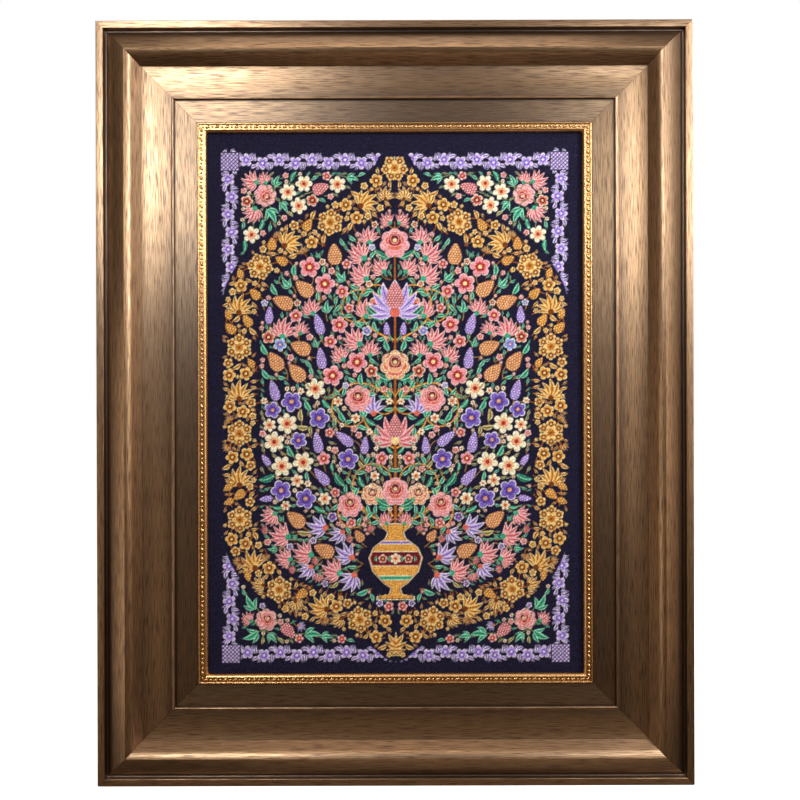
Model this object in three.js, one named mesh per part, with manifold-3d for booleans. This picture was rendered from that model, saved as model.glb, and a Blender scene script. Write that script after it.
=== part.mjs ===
// Framed pictorial rug: a flat pile rug in a wide bronzed moulding, with a flat liner and a beaded fillet.
// Millimetres, +Z up. The picture faces -Y and the back of the frame lies in the plane y = 0.
// The origin is the middle of the top rail's back face, where the wall holds the frame.
//
// Every section is drawn in two sizes: u, the distance inwards from the frame's outer edge, and h, the height
// of the face in front of the back plane.
import * as THREE from "three";
import Module from "manifold-3d";
import { mergeVertices } from "three/addons/utils/BufferGeometryUtils.js";

const wasm = await Module();
wasm.setup();

// Overall sizes
const FRAME_WIDTH = 780;
const FRAME_HEIGHT = 1000;
const MOULDING_WIDTH = 142;
const GAP = 0.3;

// Outer moulding, from the rim inwards. At each turning point, tilt is the slope of the face in degrees, and
// pull is how far the handles of the curve that ends there reach, as a share of that curve's width.
const RIM_WIDTH = 9.5;
const RIM_HEIGHT = 32;
const RIM_ROUND = 1;
const QUIRK = { u: 12.5, h: 24.5, tilt: 38, pull: 0.4 };
const FLANK = { u: 38.5, h: 40.5, tilt: 28 };
const CREST = { u: 38.5, h: 40.5, tilt: 18, pull: 0.36 };
const FALL = { u: 48, h: 33.4, tilt: 56 };
const PANEL_TOP = { u: 56.5, h: 20.8, tilt: 12, pull: 0.34 };
const PANEL_FOOT = { u: 96, h: 19.6, tilt: 2 };
const ARRIS_RADIUS = 1.6;
const ARRIS_SWEEP = 0.8 * Math.PI;
const LIP_WIDTH = 8.2;
const LIP_EDGE = 99.2;
const LIP_UNDERSIDE = 16.3;

// Liner
const LINER_OUTER_HEIGHT = 16;
const LINER_INNER_HEIGHT = 15;
const LINER_LEDGE_HEIGHT = 10.3;

// Gold fillet
const FILLET_WIDTH = 12.7;
const FILLET_FOOT = 10.6;
const FILLET_RIM_WIDTH = 2.2;
const FILLET_RIM_TOP = 17.2;
const CHANNEL_FLOOR = 14.6;
const CHANNEL_WIDTH = 5.6;
const INNER_RIB_TOP = 16.6;
const INNER_RIB_FLAT = 0.8;
const SIGHT_EDGE_HEIGHT = 11.4;

// Beads in the fillet's channel. at is the bead's place along each repeat, as a share of the pitch.
const BEAD_PITCH = 12.65;
const BEAD_HEIGHT = 1.6;
const BEAD_SIDES = 6;
const LONG_BEAD = { length: 6.6, width: 3.2, slant: 22, at: 0.32, rings: 4 };
const PEARL = { length: 3, width: 3, slant: 0, at: 0.82, rings: 2 };

// Rug and backing board
const RUG_OVERLAP = 5;
const RUG_THICKNESS = 5;
const BOARD_THICKNESS = 3;
const BOARD_RECESS = 2;

// Worked out from the sizes above
const FILLET_EDGE = MOULDING_WIDTH - FILLET_WIDTH;
const RUG_WIDTH = FRAME_WIDTH - 2 * (MOULDING_WIDTH - RUG_OVERLAP);
const RUG_HEIGHT = FRAME_HEIGHT - 2 * (MOULDING_WIDTH - RUG_OVERLAP);
const REBATE_EDGE = LIP_EDGE - LIP_WIDTH;
const BACK_FACE_MIDDLE = REBATE_EDGE / 2;
const MITRE_SETBACK = GAP / Math.SQRT2;

// Fineness of the faceted curves, and the distance under which two corners are one
const MOULDING_CURVE_STEPS = 8;
const FILLET_CURVE_STEPS = 4;
const WELD_DISTANCE = 1e-4;

const RAILS = [
  { side: "bottom", turn: 0, length: FRAME_WIDTH, reach: FRAME_HEIGHT / 2 },
  { side: "left", turn: Math.PI / 2, length: FRAME_HEIGHT, reach: FRAME_WIDTH / 2 },
  { side: "top", turn: Math.PI, length: FRAME_WIDTH, reach: FRAME_HEIGHT / 2 },
  { side: "right", turn: 1.5 * Math.PI, length: FRAME_HEIGHT, reach: FRAME_WIDTH / 2 },
];

const BRONZE = { color: 0x8a6a4c, roughness: 0.35, metalness: 0.7 };
const BRONZE_LINER = { color: 0x7a5c42, roughness: 0.4, metalness: 0.7 };
const GOLD = { color: 0xc99a5b, roughness: 0.3, metalness: 0.9 };
const NAVY_PILE = { color: 0x23233c, roughness: 0.9, metalness: 0 };
const BOARD = { color: 0x9a7a55, roughness: 0.85, metalness: 0 };

// Adds one smooth stretch between two turning points, drawn from the picture's side outwards.
function curveTo(shape, from, to) {
  const run = Math.abs(from.u - to.u) * to.pull;
  const fromRise = run * Math.tan(THREE.MathUtils.degToRad(from.tilt));
  const toRise = run * Math.tan(THREE.MathUtils.degToRad(to.tilt));
  const side = from.h < to.h ? 1 : -1;
  shape.bezierCurveTo(from.u - run, from.h + side * fromRise, to.u + run, to.h - side * toRise, to.u, to.h);
}

// The outer moulding: back, rebate for the liner, arris, shallow panel, steep fall, crest, quirk and rim.
function outerSection() {
  const shape = new THREE.Shape();
  const arrisMiddle = LIP_EDGE - ARRIS_RADIUS;
  shape.moveTo(0, 0);
  shape.lineTo(REBATE_EDGE, 0);
  shape.lineTo(REBATE_EDGE, LIP_UNDERSIDE);
  shape.lineTo(LIP_EDGE, LIP_UNDERSIDE);
  shape.absarc(arrisMiddle, PANEL_FOOT.h - ARRIS_RADIUS / 2, ARRIS_RADIUS, 0, ARRIS_SWEEP, false);
  shape.lineTo(PANEL_FOOT.u, PANEL_FOOT.h);
  curveTo(shape, PANEL_FOOT, PANEL_TOP);
  shape.lineTo(FALL.u, FALL.h);
  curveTo(shape, FALL, CREST);
  curveTo(shape, FLANK, QUIRK);
  shape.quadraticCurveTo(RIM_WIDTH, QUIRK.h, RIM_WIDTH, QUIRK.h + (QUIRK.u - RIM_WIDTH));
  shape.lineTo(RIM_WIDTH, RIM_HEIGHT - RIM_ROUND);
  shape.quadraticCurveTo(RIM_WIDTH, RIM_HEIGHT, RIM_WIDTH - RIM_ROUND, RIM_HEIGHT);
  shape.lineTo(RIM_ROUND, RIM_HEIGHT);
  shape.quadraticCurveTo(0, RIM_HEIGHT, 0, RIM_HEIGHT - RIM_ROUND);
  shape.closePath();
  return shape;
}

// The liner: its outer edge lies under the moulding's lip, and its ledge carries the fillet.
function linerSection() {
  const rugSide = MOULDING_WIDTH - RUG_OVERLAP - GAP;
  const shape = new THREE.Shape();
  shape.moveTo(REBATE_EDGE + GAP, 0);
  shape.lineTo(rugSide, 0);
  shape.lineTo(rugSide, LINER_LEDGE_HEIGHT);
  shape.lineTo(FILLET_EDGE - GAP, LINER_LEDGE_HEIGHT);
  shape.lineTo(FILLET_EDGE - GAP, LINER_INNER_HEIGHT);
  shape.lineTo(LIP_EDGE + GAP, LINER_OUTER_HEIGHT);
  shape.lineTo(REBATE_EDGE + GAP, LINER_OUTER_HEIGHT);
  shape.closePath();
  return shape;
}

// The fillet: a rounded rim, the channel for the beads, and an inner rib that slopes down to the pile.
function filletSection() {
  const rimMiddle = FILLET_EDGE + FILLET_RIM_WIDTH / 2;
  const rimRadius = FILLET_RIM_WIDTH / 2;
  const channelStart = FILLET_EDGE + FILLET_RIM_WIDTH;
  const channelEnd = channelStart + CHANNEL_WIDTH;
  const shape = new THREE.Shape();
  shape.moveTo(FILLET_EDGE, FILLET_FOOT);
  shape.lineTo(MOULDING_WIDTH, FILLET_FOOT);
  shape.lineTo(MOULDING_WIDTH, SIGHT_EDGE_HEIGHT);
  shape.lineTo(channelEnd + INNER_RIB_FLAT, INNER_RIB_TOP);
  shape.lineTo(channelEnd, INNER_RIB_TOP);
  shape.lineTo(channelEnd, CHANNEL_FLOOR);
  shape.lineTo(channelStart, CHANNEL_FLOOR);
  shape.absarc(rimMiddle, FILLET_RIM_TOP - rimRadius, rimRadius, 0, Math.PI, false);
  shape.closePath();
  return shape;
}

// Lays a section along a rail and cuts both ends at 45 degrees, a half gap back from the corner's diagonal.
function mitredRail(section, rail, curveSteps) {
  const options = { depth: 1, steps: 1, bevelEnabled: false, curveSegments: curveSteps };
  const geometry = new THREE.ExtrudeGeometry(section, options);
  const point = geometry.attributes.position;
  for (let i = 0; i < point.count; i += 1) {
    const u = point.getX(i);
    const halfLength = rail.length / 2 - u - MITRE_SETBACK;
    const along = (2 * point.getZ(i) - 1) * halfLength;
    point.setXYZ(i, along, -point.getY(i), u - rail.reach);
  }
  return geometry;
}

// A closed geometry as a solid that can be joined and cut.
function solidOf(geometry) {
  const bare = new THREE.BufferGeometry();
  bare.setAttribute("position", geometry.attributes.position.clone());
  if (geometry.index) {
    bare.setIndex(geometry.index.clone());
  }
  const merged = mergeVertices(bare, WELD_DISTANCE);
  const mesh = new wasm.Mesh({
    numProp: 3,
    vertProperties: new Float32Array(merged.attributes.position.array),
    triVerts: new Uint32Array(merged.index.array),
  });
  return new wasm.Manifold(mesh);
}

// A joined or cut solid as a geometry.
function geometryOf(solid) {
  const mesh = solid.getMesh();
  const geometry = new THREE.BufferGeometry();
  geometry.setAttribute("position", new THREE.BufferAttribute(new Float32Array(mesh.vertProperties), 3));
  geometry.setIndex(new THREE.BufferAttribute(new Uint32Array(mesh.triVerts), 1));
  geometry.computeVertexNormals();
  return geometry;
}

// One bead: an ellipsoid whose lower half sinks into the channel's floor, turned by its slant.
function bead(kind) {
  const geometry = new THREE.SphereGeometry(1, BEAD_SIDES, kind.rings);
  geometry.scale(kind.length / 2, BEAD_HEIGHT, kind.width / 2);
  geometry.rotateY(-THREE.MathUtils.degToRad(kind.slant));
  return geometry;
}

// The row of long beads and pearls of one rail, at an even pitch from corner to corner.
function beadRow(rail) {
  const channelMiddle = FILLET_EDGE + FILLET_RIM_WIDTH + CHANNEL_WIDTH / 2;
  const rowLength = rail.length - 2 * channelMiddle;
  const count = Math.round(rowLength / BEAD_PITCH);
  const pitch = rowLength / count;
  const beads = [];
  for (let i = 0; i < count; i += 1) {
    for (const kind of [LONG_BEAD, PEARL]) {
      const along = (i + kind.at) * pitch - rowLength / 2;
      beads.push(solidOf(bead(kind).translate(along, -CHANNEL_FLOOR, channelMiddle - rail.reach)));
    }
  }
  return wasm.Manifold.union(beads);
}

// The fillet of one rail: the plain strip with its beads.
function filletRail(rail) {
  const strip = solidOf(mitredRail(filletSection(), rail, FILLET_CURVE_STEPS));
  return geometryOf(strip.add(beadRow(rail)));
}

// A flat sheet as large as the rug, whose back lies at the given height.
function flatSheet(back, thickness) {
  const geometry = new THREE.BoxGeometry(RUG_WIDTH, thickness, RUG_HEIGHT);
  return geometry.translate(0, -(back + thickness / 2), 0);
}

// The object: its pieces are placed around the middle of the frame, which hangs below the origin.
const part = new THREE.Group();
const middle = new THREE.Group();
middle.position.z = BACK_FACE_MIDDLE - FRAME_HEIGHT / 2;
part.add(middle);

function place(name, geometry, look, turn = 0) {
  const mesh = new THREE.Mesh(geometry, new THREE.MeshStandardMaterial(look));
  mesh.name = name;
  mesh.rotation.y = turn;
  middle.add(mesh);
}

for (const rail of RAILS) {
  place(`rail_${rail.side}`, mitredRail(outerSection(), rail, MOULDING_CURVE_STEPS), BRONZE, rail.turn);
  place(`liner_${rail.side}`, mitredRail(linerSection(), rail, 1), BRONZE_LINER, rail.turn);
  place(`fillet_${rail.side}`, filletRail(rail), GOLD, rail.turn);
}
place("backing_board", flatSheet(BOARD_RECESS, BOARD_THICKNESS), BOARD);
place("rug", flatSheet(BOARD_RECESS + BOARD_THICKNESS + GAP, RUG_THICKNESS), NAVY_PILE);

export default part;
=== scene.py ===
"""Dresses a framed pictorial rug: bronzed mouldings, beaded gold fillet, knotted pile, plain studio."""
import logging
import math
from dataclasses import dataclass, field
from enum import Enum
from typing import ClassVar

import bpy
import numpy as np
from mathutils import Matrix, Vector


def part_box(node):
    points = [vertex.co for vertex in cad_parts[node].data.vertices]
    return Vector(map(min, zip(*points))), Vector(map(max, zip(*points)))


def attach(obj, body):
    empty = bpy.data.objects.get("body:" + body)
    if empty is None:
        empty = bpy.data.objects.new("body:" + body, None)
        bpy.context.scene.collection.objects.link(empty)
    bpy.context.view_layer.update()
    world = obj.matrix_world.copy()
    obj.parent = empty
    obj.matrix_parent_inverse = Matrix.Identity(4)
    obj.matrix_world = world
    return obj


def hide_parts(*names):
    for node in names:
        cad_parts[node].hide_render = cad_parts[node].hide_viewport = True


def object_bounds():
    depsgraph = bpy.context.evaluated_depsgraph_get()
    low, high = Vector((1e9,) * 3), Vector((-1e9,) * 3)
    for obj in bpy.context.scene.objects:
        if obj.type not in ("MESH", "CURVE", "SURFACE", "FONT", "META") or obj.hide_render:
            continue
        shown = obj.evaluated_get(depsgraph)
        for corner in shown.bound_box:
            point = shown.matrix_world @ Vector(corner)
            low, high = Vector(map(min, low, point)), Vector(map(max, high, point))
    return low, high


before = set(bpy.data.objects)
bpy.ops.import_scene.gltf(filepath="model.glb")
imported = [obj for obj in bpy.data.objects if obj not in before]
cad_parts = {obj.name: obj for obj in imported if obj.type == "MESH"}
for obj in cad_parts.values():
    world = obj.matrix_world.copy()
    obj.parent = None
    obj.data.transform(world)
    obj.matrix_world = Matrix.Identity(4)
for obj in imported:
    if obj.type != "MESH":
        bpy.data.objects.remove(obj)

# Sizes are in millimetres and become metres when a mesh, a light or the camera is made.
cad_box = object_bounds()
LOG = logging.getLogger("framed_rug")
MM = 0.001

# Numbers of the Mix node's colour sockets, whose names are shared with its other kinds.
MIX_A, MIX_B, MIX_RESULT = 6, 7, 2

# A place on the rug's chart, and rows of distance inward and share of brown toning and painted shade.
Spot = tuple[float, float] | np.ndarray
TonerAndShade = tuple[tuple[float, float], ...]


def srgb(hex_colour: str) -> np.ndarray:
    """Reads a hex colour such as "#c9a27c" as red, green and blue from 0 to 1, still sRGB."""
    return np.array([int(hex_colour[i:i + 2], 16) for i in (1, 3, 5)]) / 255.0


def linear(colour: np.ndarray) -> np.ndarray:
    """Turns sRGB values into linear ones: a straight line near black, a power of 2.4 above it."""
    return np.where(colour <= 0.04045, colour / 12.92, ((colour + 0.055) / 1.055) ** 2.4)


def paint(hex_colour: str) -> tuple[float, float, float, float]:
    """Gives a hex colour as the linear red, green, blue and alpha that a shader socket takes."""
    return (*linear(srgb(hex_colour)), 1.0)


def step(degrees: float) -> np.ndarray:
    """Gives the step of length 1 at an angle from x."""
    return np.array([math.cos(math.radians(degrees)), math.sin(math.radians(degrees))])


def heading(way: np.ndarray) -> float:
    """Gives a step's angle from x, in degrees."""
    return math.degrees(math.atan2(way[1], way[0]))


def cubic(knots: np.ndarray, steps: int) -> np.ndarray:
    """Gives points of a cubic curve, its four knots weighted (1-t)^3, 3t(1-t)^2, 3t^2(1-t) and t^3."""
    t = np.linspace(0, 1, steps + 1)[:, None]
    return np.hstack([(1 - t) ** 3, 3 * t * (1 - t) ** 2, 3 * t ** 2 * (1 - t), t ** 3]) @ knots


@dataclass
class Shell:
    """A closed skin of a piece before Blender gets it.

    Faces, uv and covers hold one array for each number of corners: corner numbers, map places in metres
    and the number of each face's material. Points are in metres, and values are what a material reads at
    each point, a number or a colour.
    """

    points: np.ndarray
    faces: list[np.ndarray]
    uv: list[np.ndarray]
    covers: list[np.ndarray]
    values: dict[str, np.ndarray] = field(default_factory=dict)

    def joined(self, other: "Shell") -> "Shell":
        """Gives one shell that holds this one and another with the same values."""
        return Shell(
            np.concatenate([self.points, other.points]),
            self.faces + [faces + len(self.points) for faces in other.faces],
            self.uv + other.uv,
            self.covers + other.covers,
            {name: np.concatenate([own, other.values[name]]) for name, own in self.values.items()},
        )

    def make(
        self, name: str, map_name: str, materials: list[bpy.types.Material], crease: float
    ) -> bpy.types.Object:
        """Makes the Blender object, smooth but for edges that turn by more than a given angle.

        Args:
            name: name of the object and its mesh.
            map_name: name of its UV map.
            materials: materials that the covers count.
            crease: angle in degrees from which an edge stays sharp.

        Returns:
            The object, at the origin and linked to the scene.
        """
        mesh = bpy.data.meshes.new(name)
        corners = np.concatenate([faces.ravel() for faces in self.faces])
        counts = np.concatenate([np.full(len(faces), faces.shape[1]) for faces in self.faces])
        mesh.vertices.add(len(self.points))
        mesh.vertices.foreach_set("co", self.points.astype(np.float32).ravel())
        mesh.loops.add(len(corners))
        mesh.loops.foreach_set("vertex_index", corners.astype(np.int32))
        mesh.polygons.add(len(counts))
        mesh.polygons.foreach_set("loop_start", (np.cumsum(counts) - counts).astype(np.int32))
        mesh.polygons.foreach_set("material_index", np.concatenate(self.covers).astype(np.int32))
        mesh.polygons.foreach_set("use_smooth", np.ones(len(counts), dtype=bool))
        mesh.uv_layers.new(name=map_name)
        places = np.concatenate([uv.reshape(-1, 2) for uv in self.uv])
        mesh.uv_layers[map_name].data.foreach_set("uv", places.astype(np.float32).ravel())
        for label, numbers in self.values.items():
            kind, slot = ("FLOAT", "value") if numbers.ndim == 1 else ("FLOAT_COLOR", "color")
            if numbers.ndim == 2:
                numbers = np.column_stack([numbers, np.ones(len(numbers))])
            layer = mesh.attributes.new(label, kind, "POINT")
            layer.data.foreach_set(slot, numbers.astype(np.float32).ravel())
        mesh.update(calc_edges=True)
        mesh.set_sharp_from_angle(angle=math.radians(crease))
        for material in materials:
            mesh.materials.append(material)
        piece = bpy.data.objects.new(name, mesh)
        bpy.context.scene.collection.objects.link(piece)
        return piece


def grid_faces(rows: int, columns: int, wrapped: bool = False) -> np.ndarray:
    """Numbers the four corners of each cell of a grid of points that is counted row by row.

    Args:
        rows: rows of points.
        columns: points in a row.
        wrapped: whether the last point of a row joins its first.

    Returns:
        One row of four corner numbers for each cell.
    """
    cells = np.arange(columns if wrapped else columns - 1)
    row, column = np.meshgrid(np.arange(rows - 1) * columns, cells, indexing="ij")
    after = (column + 1) % columns
    corners = [row + column, row + after, row + columns + after, row + columns + column]
    return np.stack(corners, axis=-1).reshape(-1, 4)


def settle(piece: bpy.types.Object, slot: str, *nodes: str) -> bpy.types.Object:
    """Fixes a finished piece to the frame's body, hides the nodes that it stands for and logs its
    triangles.
    """
    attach(piece, "root")
    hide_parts(*nodes)
    piece.data.calc_loop_triangles()
    LOG.info("%s: %d triangles", piece.name, len(piece.data.loop_triangles))
    return piece


# Finishes

def add_node(
    tree: bpy.types.NodeTree, kind: str, inputs: dict | None = None, **settings: object
) -> bpy.types.Node:
    """Adds one shader node.

    Args:
        tree: node tree that gets it.
        kind: the node's type without its ShaderNode prefix.
        inputs: by name or number, a constant, another node's output, or a node for its first output.
        settings: the node's own properties.

    Returns:
        The new node.
    """
    node = tree.nodes.new("ShaderNode" + kind)
    for name, value in settings.items():
        setattr(node, name, value)
    for key, value in (inputs or {}).items():
        if isinstance(value, bpy.types.Node):
            value = value.outputs[0]
        if isinstance(value, bpy.types.NodeSocket):
            tree.links.new(value, node.inputs[key])
        else:
            node.inputs[key].default_value = value
    return node


def new_material(name: str) -> tuple[bpy.types.Material, bpy.types.NodeTree]:
    """Makes an empty node material and gives it with its tree."""
    material = bpy.data.materials.new(name)
    material.use_nodes = True
    material.node_tree.nodes.clear()
    return material, material.node_tree


@dataclass(frozen=True)
class MetalLeaf:
    """Metal leaf on wood, rubbed along the rail, darkened by brown toning and painted shade.

    The rubbing leaves fine streaks along the rail, so a light spreads across the rail and stays narrow
    along it. A dark brown is mixed in by each point's toner_and_shade share: brown toning in the hollows
    and painted shade in recesses, on steep slopes and along shadow lines, none on the crests. Satin
    lacquer lies over both.

    Attributes:
        name: the material's name.
        leaf: colour of the bare leaf.
        worn: colour of the leaf between streaks, where brown toning shows.
        toner_and_shade: colour of the brown toning in the hollows, also laid as painted shade.
        streak: length of a streak and distance between streaks, in millimetres.
        roughness: roughness of the rubbed leaf.
        stretch: how far the rubbing stretches a highlight, from 0 to 1.
    """

    name: str
    leaf: str
    worn: str
    toner_and_shade: str
    streak: tuple[float, float] = (28.0, 0.9)
    roughness: float = 0.36
    stretch: float = 0.55

    def build(self) -> bpy.types.Material:
        """Makes the material from the piece's own map, which runs along the rail and round its section."""
        material, tree = new_material(self.name)
        place = add_node(tree, "UVMap", uv_map="Run")
        noises = []
        for along, across in ((1.0, 1.0), (0.4, 0.2)):
            scale = (along / self.streak[0] / MM, across / self.streak[1] / MM, 1.0)
            laid = add_node(tree, "Mapping", {"Scale": scale, "Vector": place})
            noise = {"Scale": 1.0, "Detail": 3.0, "Roughness": 0.6, "Vector": laid}
            noises.append(add_node(tree, "TexNoise", noise))
        mixed = add_node(tree, "Mix", {"Factor": 0.1, 2: noises[0], 3: noises[1]})
        streak = add_node(tree, "MapRange", {"From Min": 0.4, "From Max": 0.54, "Value": mixed})
        # Share of dark brown at each point: brown toning, and painted shade where the rails' tables darken
        # recesses, slopes and shadow lines.
        toned_and_shaded = add_node(tree, "Attribute", attribute_name="toner_and_shade").outputs["Fac"]
        tones = {MIX_A: paint(self.worn), MIX_B: paint(self.leaf), "Factor": streak}
        rubbed = add_node(tree, "Mix", tones, data_type="RGBA")
        tones = {MIX_A: rubbed.outputs[MIX_RESULT], MIX_B: paint(self.toner_and_shade), "Factor": toned_and_shaded}
        colour = add_node(tree, "Mix", tones, data_type="RGBA")
        spread = {"To Min": self.roughness + 0.08, "To Max": self.roughness - 0.04, "Value": streak}
        rough = add_node(tree, "MapRange", spread)
        relief = add_node(tree, "Bump", {"Strength": 0.6, "Distance": 0.1 * MM, "Height": noises[0]})
        tangent = add_node(tree, "Tangent", direction_type="UV_MAP", uv_map="Run")
        shader = add_node(tree, "BsdfPrincipled", {
            "Base Color": colour.outputs[MIX_RESULT], "Metallic": 1.0, "Roughness": rough, "Normal": relief,
            "Tangent": tangent, "Anisotropic": self.stretch, "Anisotropic Rotation": 0.25,
            "Coat Weight": 0.8, "Coat Roughness": 0.35,
        })
        add_node(tree, "OutputMaterial", {"Surface": shader})
        return material


@dataclass(frozen=True)
class Board:
    """Wood or wood fibre, sawn or pressed and left bare, which is matt.

    Pine shows long soft grain. Hardboard shows short crossing fibres. Grain is the size of a grain line
    along x, y and z, in millimetres.
    """

    name: str
    light: str
    dark: str
    grain: tuple[float, float, float]

    def build(self) -> bpy.types.Material:
        """Makes the material on object coordinates."""
        material, tree = new_material(self.name)
        place = add_node(tree, "TexCoord").outputs["Object"]
        scale = tuple(1 / (size * MM) for size in self.grain)
        laid = add_node(tree, "Mapping", {"Scale": scale, "Vector": place})
        fibre = {"Scale": 1.0, "Detail": 4.0, "Roughness": 0.6, "Distortion": 0.4, "Vector": laid}
        noise = add_node(tree, "TexNoise", fibre)
        spread = add_node(tree, "MapRange", {"From Min": 0.35, "From Max": 0.65, "Value": noise})
        tones = {MIX_A: paint(self.light), MIX_B: paint(self.dark), "Factor": spread}
        colour = add_node(tree, "Mix", tones, data_type="RGBA").outputs[MIX_RESULT]
        relief = add_node(tree, "Bump", {"Strength": 0.3, "Distance": 0.1 * MM, "Height": noise})
        matt = {"Base Color": colour, "Roughness": 0.7, "IOR": 1.5, "Normal": relief}
        add_node(tree, "OutputMaterial", {"Surface": add_node(tree, "BsdfPrincipled", matt)})
        return material


@dataclass(frozen=True)
class KnottedPile:
    """Wool and silk pile, knotted by hand and sheared low.

    Each knot is dyed through, so the colour comes with the knot. Cut ends scatter light and silk gives
    them a faint sheen, and single knots differ a little in tone. Each knot cell is painted lighter in
    its middle and darker towards its edge, painted shade between tufts. The distance between knots is
    drawn twice as coarse as it is, so that it shows.
    """

    name: str = "Knotted silk and wool pile"
    knot: float = 2.0

    def build(self) -> bpy.types.Material:
        """Makes the material from the colour of each knot and the object's own coordinates."""
        material, tree = new_material(self.name)
        dyed = add_node(tree, "Attribute", attribute_name="dye")
        place = add_node(tree, "TexCoord").outputs["Object"]
        knots = {"Scale": 1 / (self.knot * MM), "Randomness": 0.6, "Vector": place}
        cells = add_node(tree, "TexVoronoi", knots)
        # Painted shade and highlight: colour times 1.2 at a knot cell's middle, falling to 0.62 at its
        # edge.
        fade = {"From Min": 0.0, "From Max": 0.7, "To Min": 1.2, "To Max": 0.62, "Value": cells}
        tones = {"Factor": 1.0, MIX_A: dyed, MIX_B: add_node(tree, "MapRange", fade)}
        colour = add_node(tree, "Mix", tones, data_type="RGBA", blend_type="MULTIPLY").outputs[MIX_RESULT]
        tufts = {"Strength": 0.5, "Distance": 0.4 * MM, "Height": cells}
        relief = add_node(tree, "Bump", tufts, invert=True)
        shader = add_node(tree, "BsdfPrincipled", {
            "Base Color": colour, "Normal": relief, "Roughness": 0.85, "IOR": 1.45,
            "Specular IOR Level": 0.08, "Sheen Weight": 0.02, "Sheen Roughness": 0.4,
        })
        add_node(tree, "OutputMaterial", {"Surface": shader})
        return material


@dataclass(frozen=True)
class CottonGround:
    """Undyed cotton warp and weft, the matt cream web that the knots are tied to."""

    name: str = "Undyed cotton warp and weft"
    thread: float = 1.5

    def build(self) -> bpy.types.Material:
        """Makes the material with one ridge for each thread across the web, lighter on its crest and darker
        between threads as painted shade.
        """
        material, tree = new_material(self.name)
        place = add_node(tree, "TexCoord").outputs["Object"]
        wave = {"Scale": 0.314 / (self.thread * MM), "Distortion": 0.6, "Vector": place}
        ridges = add_node(tree, "TexWave", wave, bands_direction="Z").outputs["Fac"]
        # Painted shade: the colour follows the ridges, lighter on each crest and darker in the troughs.
        tones = {MIX_A: paint("#b8a88c"), MIX_B: paint("#e4d8c0"), "Factor": ridges}
        colour = add_node(tree, "Mix", tones, data_type="RGBA").outputs[MIX_RESULT]
        relief = add_node(tree, "Bump", {"Strength": 0.5, "Distance": 0.3 * MM, "Height": ridges})
        matt = {"Base Color": colour, "Roughness": 0.85, "IOR": 1.45, "Normal": relief}
        add_node(tree, "OutputMaterial", {"Surface": add_node(tree, "BsdfPrincipled", matt)})
        return material


# Mouldings

class Side(Enum):
    """A side of the frame, with the quarter turns that bring the bottom rail there."""

    BOTTOM = 0
    LEFT = 1
    TOP = 2
    RIGHT = 3


@dataclass(frozen=True)
class Turn:
    """A point of a section where its slope is set.

    Attributes:
        inward: distance from the frame's outer edge.
        height: distance in front of the frame's back.
        tilt: slope there, in degrees.
        pull: length of both handles of the curve that ends there, as a share of its run.
    """

    inward: float
    height: float
    tilt: float
    pull: float


class Cover(Enum):
    """What lies on a stretch of a section."""

    LEAF = 0
    BARE = 1


class Outline:
    """A section drawn stretch by stretch, each with its cover, from the back round to its start."""

    def __init__(self, inward: float, height: float) -> None:
        """Starts the section at one point."""
        self.points: list[np.ndarray] = [np.array([[inward, height]])]
        self.covers: list[Cover] = []

    def add(self, points: np.ndarray, cover: Cover = Cover.LEAF) -> "Outline":
        """Adds points, each of which ends one side of the section."""
        self.points.append(points)
        self.covers += [cover] * len(points)
        return self

    def line(self, *points: Spot, cover: Cover = Cover.LEAF) -> "Outline":
        """Adds straight sides through the given points."""
        return self.add(np.array(points), cover)

    def bend(self, via: Spot, end: Spot, steps: int) -> "Outline":
        """Adds a curve towards one point and on to another, weighted (1-t)^2, 2t(1-t) and t^2."""
        start = self.points[-1][-1]
        t = np.linspace(0, 1, steps + 1)[1:, None]
        return self.add((1 - t) ** 2 * start + 2 * t * (1 - t) * np.array(via) + t ** 2 * np.array(end))

    def sweep(self, start: Turn, end: Turn, steps: int) -> "Outline":
        """Adds a cubic curve between two turns, with handles that follow their tilts.

        Args:
            start: turn that the curve leaves.
            end: turn that it reaches.
            steps: number of sides.

        Returns:
            The outline itself.
        """
        rise = 1.0 if start.height < end.height else -1.0
        handle = end.pull * abs(end.inward - start.inward)
        leave = (start.inward - handle, start.height + rise * handle * math.tan(math.radians(start.tilt)))
        reach = (end.inward + handle, end.height - rise * handle * math.tan(math.radians(end.tilt)))
        knots = np.array([(start.inward, start.height), leave, reach, (end.inward, end.height)])
        return self.add(cubic(knots, steps)[1:])

    def arc(self, middle: Spot, radius: float, last: float, steps: int) -> "Outline":
        """Adds points on a circle, from its inward side on by a number of half turns."""
        angle = np.linspace(0, last, steps + 1) * math.pi
        return self.add(np.array(middle) + radius * np.stack([np.cos(angle), np.sin(angle)], axis=1))

    def closed(self) -> tuple[np.ndarray, np.ndarray]:
        """Gives the section's points, and for each of them the number of the cover on the side after it."""
        covers = [cover.value for cover in self.covers]
        return np.concatenate(self.points), np.array(covers + [Cover.LEAF.value])


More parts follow.
